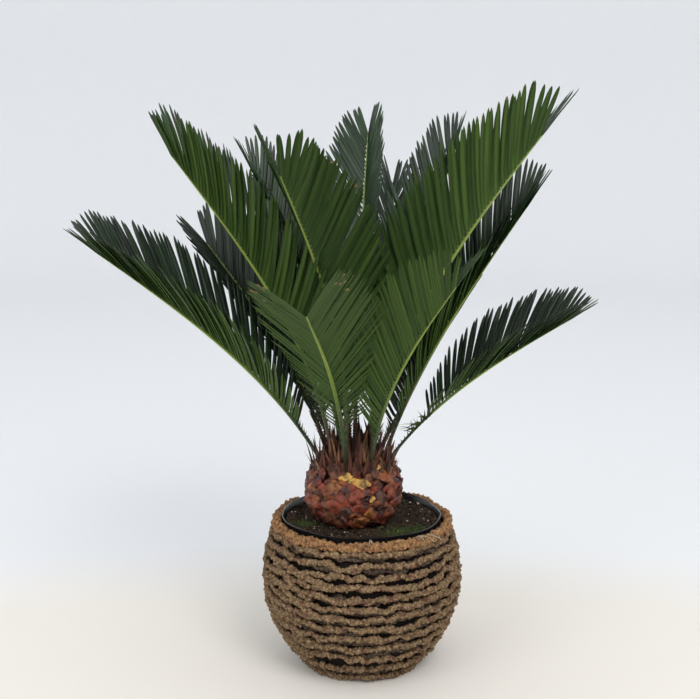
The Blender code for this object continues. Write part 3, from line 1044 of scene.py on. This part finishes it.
def pebbles(places, sizes, rng):
    """Small lumps with six sides: points of shape (lump, row, ring, xyz)."""
    count = len(places)
    outward = around(turns(6) + rng.uniform(0.0, math.tau, (count, 1)))
    rows = []
    for level, width in ((-0.8, 0.5), (-0.1, 1.0), (0.75, 0.55)):
        radius = width * rng.uniform(0.75, 1.25, (count, 6, 1))
        rows.append(outward * radius + UP * level)
    shape = np.stack(rows, 1) * rng.uniform(0.7, 1.3, (count, 1, 1, 3))
    lean = rng.normal(0.0, 0.35, (count, 1, 1, 2))
    shape[..., 2] += (shape[..., :2] * lean).sum(-1)
    return places[:, None, None] + shape * sizes[:, None, None, None]


def scatter_on_soil(count, rng, centre=(0.0, 0.0), spread=None):
    """Places on the soil, over all of it or in a soft clump, but not under the stem."""
    places = np.empty((0, 3))
    while len(places) < count:
        if spread:
            flat = rng.normal(0.0, 1.0, (count * 2, 2)) * spread + np.array(centre)
        else:
            flat = rng.uniform(-POT_MOUTH, POT_MOUTH, (count * 3, 2))
        inside = np.hypot(flat[:, 0], flat[:, 1]) < POT_MOUTH - 0.005
        clear = np.hypot(flat[:, 0] - STEM_AXIS[0], flat[:, 1]) > STEM_CLEAR
        flat = flat[inside & clear]
        places = np.concatenate([places, np.column_stack([flat, soil_height(flat)])])
    return places[:count]


def make_crumbs():
    rng = np.random.default_rng(22)
    places = scatter_on_soil(CRUMB_COUNT, rng)
    sizes = 0.0005 + 0.0012 * rng.random(CRUMB_COUNT) ** 3
    tints = rng.choice(len(CRUMB_COLOURS), CRUMB_COUNT, p=CRUMB_SHARES)
    materials = new_materials("crumb", CRUMB_COLOURS, 0.95, 0.2)
    place_shapes("soil_crumbs", pebbles(places, sizes, rng), "soil", ["soil"], materials, tints)


def make_moss():
    """Low tufts of moss, the largest at the front right and the front left."""
    rng = np.random.default_rng(23)
    clumps = [scatter_on_soil(count, rng, (x, y), spread) for x, y, spread, count in MOSS_CLUMPS]
    places = np.concatenate(clumps)
    count = len(places)
    axes = unit(rng.normal(0.0, 0.55, (count, 3)) + UP * 1.2)
    lengths = rng.uniform(0.0015, 0.0042, count)
    points = cones(places - axes * 0.0004, axes, lengths, np.full(count, MOSS_HALF), 4)
    materials = new_materials("moss", MOSS_COLOURS, 0.8, 0.2)
    place_shapes("moss", points, "soil", ["soil"], materials, rng.integers(0, len(materials), count))


# Stem


def on_profile(place):
    """Radius and height of the stem at places counted along its profile."""
    return [np.interp(place, np.arange(len(STEM_PROFILE)), values) for values in zip(*STEM_PROFILE)]


def stem_frames(share, turn):
    """Places at shares of the stem's skin, with their outward, upward and sideways directions."""
    place = np.linspace(0.0, len(STEM_PROFILE) - 1.0, 200)
    radius, height = on_profile(place)
    step = np.hypot(np.diff(radius), np.diff(height)) * (radius[1:] + radius[:-1]) / 2
    area = np.concatenate([[0.0], np.cumsum(step)]) / step.sum()
    here = np.interp(share, area, place)
    ahead, behind = on_profile(here + 0.4), on_profile(here - 0.4)
    slope = np.arctan2(behind[0] - ahead[0], ahead[1] - behind[1])[:, None]
    level = around(turn)
    places = level * np.interp(here, place, radius)[:, None] + UP * np.interp(here, place, height)[:, None]
    outward = level * np.cos(slope) + UP * np.sin(slope)
    upward = UP * np.cos(slope) - level * np.sin(slope)
    return places + STEM_AXIS, outward, upward, np.cross(UP, level)


def scale_shapes(places, outward, upward, sideways, half_width, half_height, tilt, seed):
    """Rounded lumpy lozenges on the stem: points of shape (scale, row, ring, xyz)."""
    turn = turns(SCALE_RING)
    sides = np.abs(np.cos(turn)) ** SCALE_POWER + np.abs(np.sin(turn)) ** SCALE_POWER
    outline = sides ** (-1 / SCALE_POWER)
    rows = []
    for share, lift, _ in SCALE_ROWS:
        u = share * outline * np.cos(turn) * half_width[:, None]
        v = share * outline * np.sin(turn) * half_height[:, None]
        w = lift * half_height[:, None] + v * tilt[:, None]
        offsets = ((sideways, u), (upward, v), (outward, w))
        rows.append(places[:, None] + sum(way[:, None] * reach[..., None] for way, reach in offsets))
    points = np.stack(rows, 1)
    broad = np.stack([noise(points, 0.0065, seed + k) for k in range(3)], -1)
    push = np.stack([noise(points, 0.0026, seed + 3 + k) for k in range(3)], -1)
    fine = noise(points, 0.0011, seed + 7)[..., None]
    return points + broad * 0.0019 + push * 0.0012 + outward[:, None, None] * fine * 0.0006


def place_scales(name, points, tints, materials):
    """A piece of scales, which lie more open to the light from row to row."""
    depth = np.tile(np.repeat(np.array(SCALE_ROWS)[:, 2], SCALE_RING), len(points))
    place_on_stem(name, points, materials, tints, depth)


def place_on_stem(name, points, materials, tints=0, depth=None):
    place_shapes(name, points, "caudex", ["caudex"], materials, tints, depth=depth)


def base_materials():
    """Blotched old leaf bases with dark patches and painted shade in their crevices: reds, rusts and browns,
    then the yellow of a fresh scar.
    """
    materials = new_materials("leaf_base", SCALE_COLOURS, 0.42, 0.32)
    for material, colour in zip(materials, SCALE_COLOURS):
        dark = [0.25 * c for c in colour]
        light = [1.15 * c + 0.35 * glow for c, glow in zip(colour, SCALE_GLOW)]
        blotch = object_noise(material, 130.0, 7.0)
        shade = ramp(material, blotch, [(0.37, dark), (0.49, colour), (0.66, light)])
        # Dark purple-brown patches at random places
        dark_patches = rising(material, object_noise(material, 62.0, 3.0), 0.50, 0.66, 0.85)
        shade = mix(material, dark_patches, shade, SCALE_DARK_PATCHES)
        paint(material, shaded_by_depth(material, shade, CREVICE_SHADE))
        add_bump(material, 520.0, 4.0, 0.5, 0.0012)
    return materials


def papery_materials():
    """Streaked browns of the scale leaves, which the stubs and the wool share."""
    materials = new_materials("scale_leaf", SCALE_LEAF_COLOURS, 0.75, 0.3)
    for material, colour in zip(materials, SCALE_LEAF_COLOURS):
        stops = [(0.36, [0.4 * c for c in colour]), (0.5, colour), (0.66, [1.7 * c for c in colour])]
        streaks = object_noise(material, 160.0, 5.0, (1.0, 1.0, 0.3))
        paint(material, ramp(material, streaks, stops))
        add_bump(material, 700.0, 3.0, 0.5, 0.0008)
    return materials


def make_stem_core():
    """The body of the stem behind the leaf bases, dark with painted shade where it shows between them."""
    profile = [(max(radius - 0.0022, 0.004), height) for radius, height in STEM_PROFILE]
    profile[0] = (profile[0][0], STEM_FOOT)
    points = turned(profile, 96) + STEM_AXIS
    points[1:] += noise(points[1:], 0.006, 81)[..., None] * 0.0008 * UP
    # Painted shade: a near-black brown where the body shows between the leaf bases
    shade_in_crevices = new_material("stem_crevice", (0.022, 0.012, 0.009), 0.9, 0.2)
    place_on_stem("caudex_core", points[None], [shade_in_crevices])


def make_scales(materials):
    """The armour of old leaf bases, wound round the stem in spirals."""
    rng = np.random.default_rng(31)
    count = SCALE_COUNT
    share = (np.arange(count) + 0.5) / count
    turn = np.arange(count) * GOLDEN_ANGLE + rng.normal(0.0, 0.03, count)
    young = ease(share, 0.55, 0.90)
    half_width = SCALE_HALF_WIDTH * (1.0 - 0.35 * young) * rng.normal(1.0, 0.16, count)
    half_height = SCALE_HALF_HEIGHT * (1.0 - 0.25 * young) * rng.normal(1.0, 0.16, count)
    tilt = rng.normal(0.12, 0.22, count) + 0.25 * young
    points = scale_shapes(*stem_frames(share, turn), half_width, half_height, tilt, 90)
    reds = rng.choice(len(SCALE_SHARES_LOW), count, p=SCALE_SHARES_LOW)
    browns = rng.choice(len(SCALE_SHARES_HIGH), count, p=SCALE_SHARES_HIGH)
    tints = np.where(rng.random(count) < young, browns, reds)
    place_scales("caudex_scales", points, tints, materials)


def make_scars(materials):
    """Yellow scars where old stalks were cut off."""
    share, turn, *sizes = np.array(SCARS).T
    places, outward, *others = stem_frames(share, np.radians(turn))
    points = scale_shapes(places + outward * SCAR_LIFT, outward, *others, *sizes, 95)
    place_scales("stalk_scars", points, len(materials) - 1, materials)


def crown_roots(radius, outward, sunk):
    """Places a little below the skin of the stem's crown, at distances from its axis."""
    dome = np.array(STEM_PROFILE[SHOULDER:])[::-1]
    height = np.interp(radius, dome[:, 0], dome[:, 1]) - sunk
    return outward * radius[:, None] + STEM_AXIS + UP * height[:, None]


def make_scale_leaves(materials):
    """Brown papery scale leaves between the stalks."""
    rng = np.random.default_rng(32)
    count = SCALE_LEAF_COUNT
    radius = CROWN_SPREAD * rng.uniform(0.03, 1.0, count) ** 0.42
    outward = around(np.arange(count) * GOLDEN_ANGLE)
    share = radius / CROWN_SPREAD
    lean = np.radians(2.0 + 10.0 * share**1.5 + rng.normal(0.0, 3.5, count))[:, None]
    axes = unit(UP * np.cos(lean) + outward * np.sin(lean) + rng.normal(0.0, 0.09, (count, 3)))
    lengths = rng.uniform(0.018, 0.050, count) * (1.0 - 0.25 * share)
    halves = rng.uniform(0.0018, 0.0050, count)
    bend = rng.normal(0.02, 0.18, count)
    points = lances(crown_roots(radius, outward, 0.004), axes, outward, lengths, halves, bend)
    tints = rng.choice(len(materials), count, p=SCALE_LEAF_SHARES)
    place_on_stem("scale_leaves", points, materials, tints)


def make_stubs(materials):
    """Short dark points of broken stalks that stand off the sides of the stem."""
    rng = np.random.default_rng(33)
    extras = [rng.uniform(low, high, STUB_EXTRAS) for low, high in STUB_RANGES]
    share, turn, length = np.concatenate([np.array(STUBS).T, extras], 1)
    places, outward, upward, _ = stem_frames(share, np.radians(turn))
    axes = unit(outward * 0.62 + upward + rng.normal(0.0, 0.12, places.shape))
    points = lances(places, axes, outward, length, 0.0011 + 0.05 * length, 0.1)
    place_on_stem("stalk_stubs", points, materials, rng.choice((0, 2), len(points)))


def make_wool(materials):
    """Rusty wool in the middle of the crown."""
    rng = np.random.default_rng(34)
    count = WOOL_COUNT
    radius = WOOL_SPREAD * np.sqrt(rng.random(count))
    outward = around(rng.uniform(0.0, math.tau, count))
    axes = unit(UP + outward * (radius / 0.03)[:, None] + rng.normal(0.0, 0.4, (count, 3)))
    lengths = rng.uniform(0.004, 0.013, count)
    points = cones(crown_roots(radius, outward, 0.002), axes, lengths, np.full(count, WOOL_HALF), 4)
    place_on_stem("crown_wool", points, materials, rng.integers(0, len(materials), count))


def make_stem():
    bases = base_materials()
    papery = papery_materials()
    make_stem_core()
    make_scales(bases)
    make_scars(bases)
    make_scale_leaves(papery)
    make_stubs(papery)
    make_wool(papery)


# Stage, light and camera


def make_stage():
    """A pale bowl, warm white in front and cooler behind, far enough off to look round inside it."""
    profile = [(radius, 0.0) for radius in (*FLOOR_RINGS, BOWL_RADIUS)]
    for turn in np.linspace(0.0, math.pi / 2, BEND_STEPS + 1)[1:]:
        profile.append((BOWL_RADIUS + BOWL_FILLET * math.sin(turn), BOWL_FILLET * (1.0 - math.cos(turn))))
    profile.append((BOWL_RADIUS + BOWL_FILLET, BOWL_HEIGHT))
    open_quads = ring_quads(len(profile), BOWL_STEPS)[: (len(profile) - 1) * BOWL_STEPS]
    material = new_material("studio_paper", (0.8, 0.8, 0.8), 0.9, 0.1)
    place = add_node(material, "ShaderNodeTexCoord").outputs["Object"]
    away = add_node(material, "ShaderNodeVectorMath", operation="DISTANCE")
    away.inputs[1].default_value = WARM_CENTRE
    link(material, place, away.inputs[0])
    share = rising(material, away.outputs["Value"], WARM_END, COOL_START)
    paint(material, ramp(material, share, [(0.0, PAPER_WARM), (1.0, PAPER_COOL)]))
    quad_mesh("studio_bowl", turned(profile, BOWL_STEPS), open_quads, materials=[material])


def make_light():
    world = bpy.data.worlds.new("studio_world")
    world.use_nodes = True
    background = world.node_tree.nodes["Background"]
    background.inputs["Color"].default_value = (*SKY_COLOUR, 1.0)
    background.inputs["Strength"].default_value = SKY_STRENGTH
    bpy.context.scene.world = world
    for name, place, power, colour in LIGHTS:
        light = bpy.data.lights.new(name, "AREA")
        light.shape = "DISK"
        light.size = LIGHT_SIZE
        light.energy = power
        light.color = colour
        aim = Vector(np.array(LIGHT_TARGET) - np.array(place))
        put_in_scene(name, light, place, aim.to_track_quat("-Z", "Y").to_euler())


def make_camera():
    camera = bpy.data.cameras.new("camera")
    camera.lens = CAMERA_LENS
    camera.clip_start = 0.05
    camera.clip_end = 50.0
    turn = (math.radians(90.0 - CAMERA_PITCH), 0.0, 0.0)
    bpy.context.scene.camera = put_in_scene("camera", camera, CAMERA_PLACE, turn)


def main():
    bpy.context.scene.view_settings.view_transform = "Standard"
    make_basket()
    make_nursery_pot()
    make_soil_body()
    make_crumbs()
    make_moss()
    make_stem()
    make_fronds()
    make_stage()
    make_light()
    make_camera()


main()
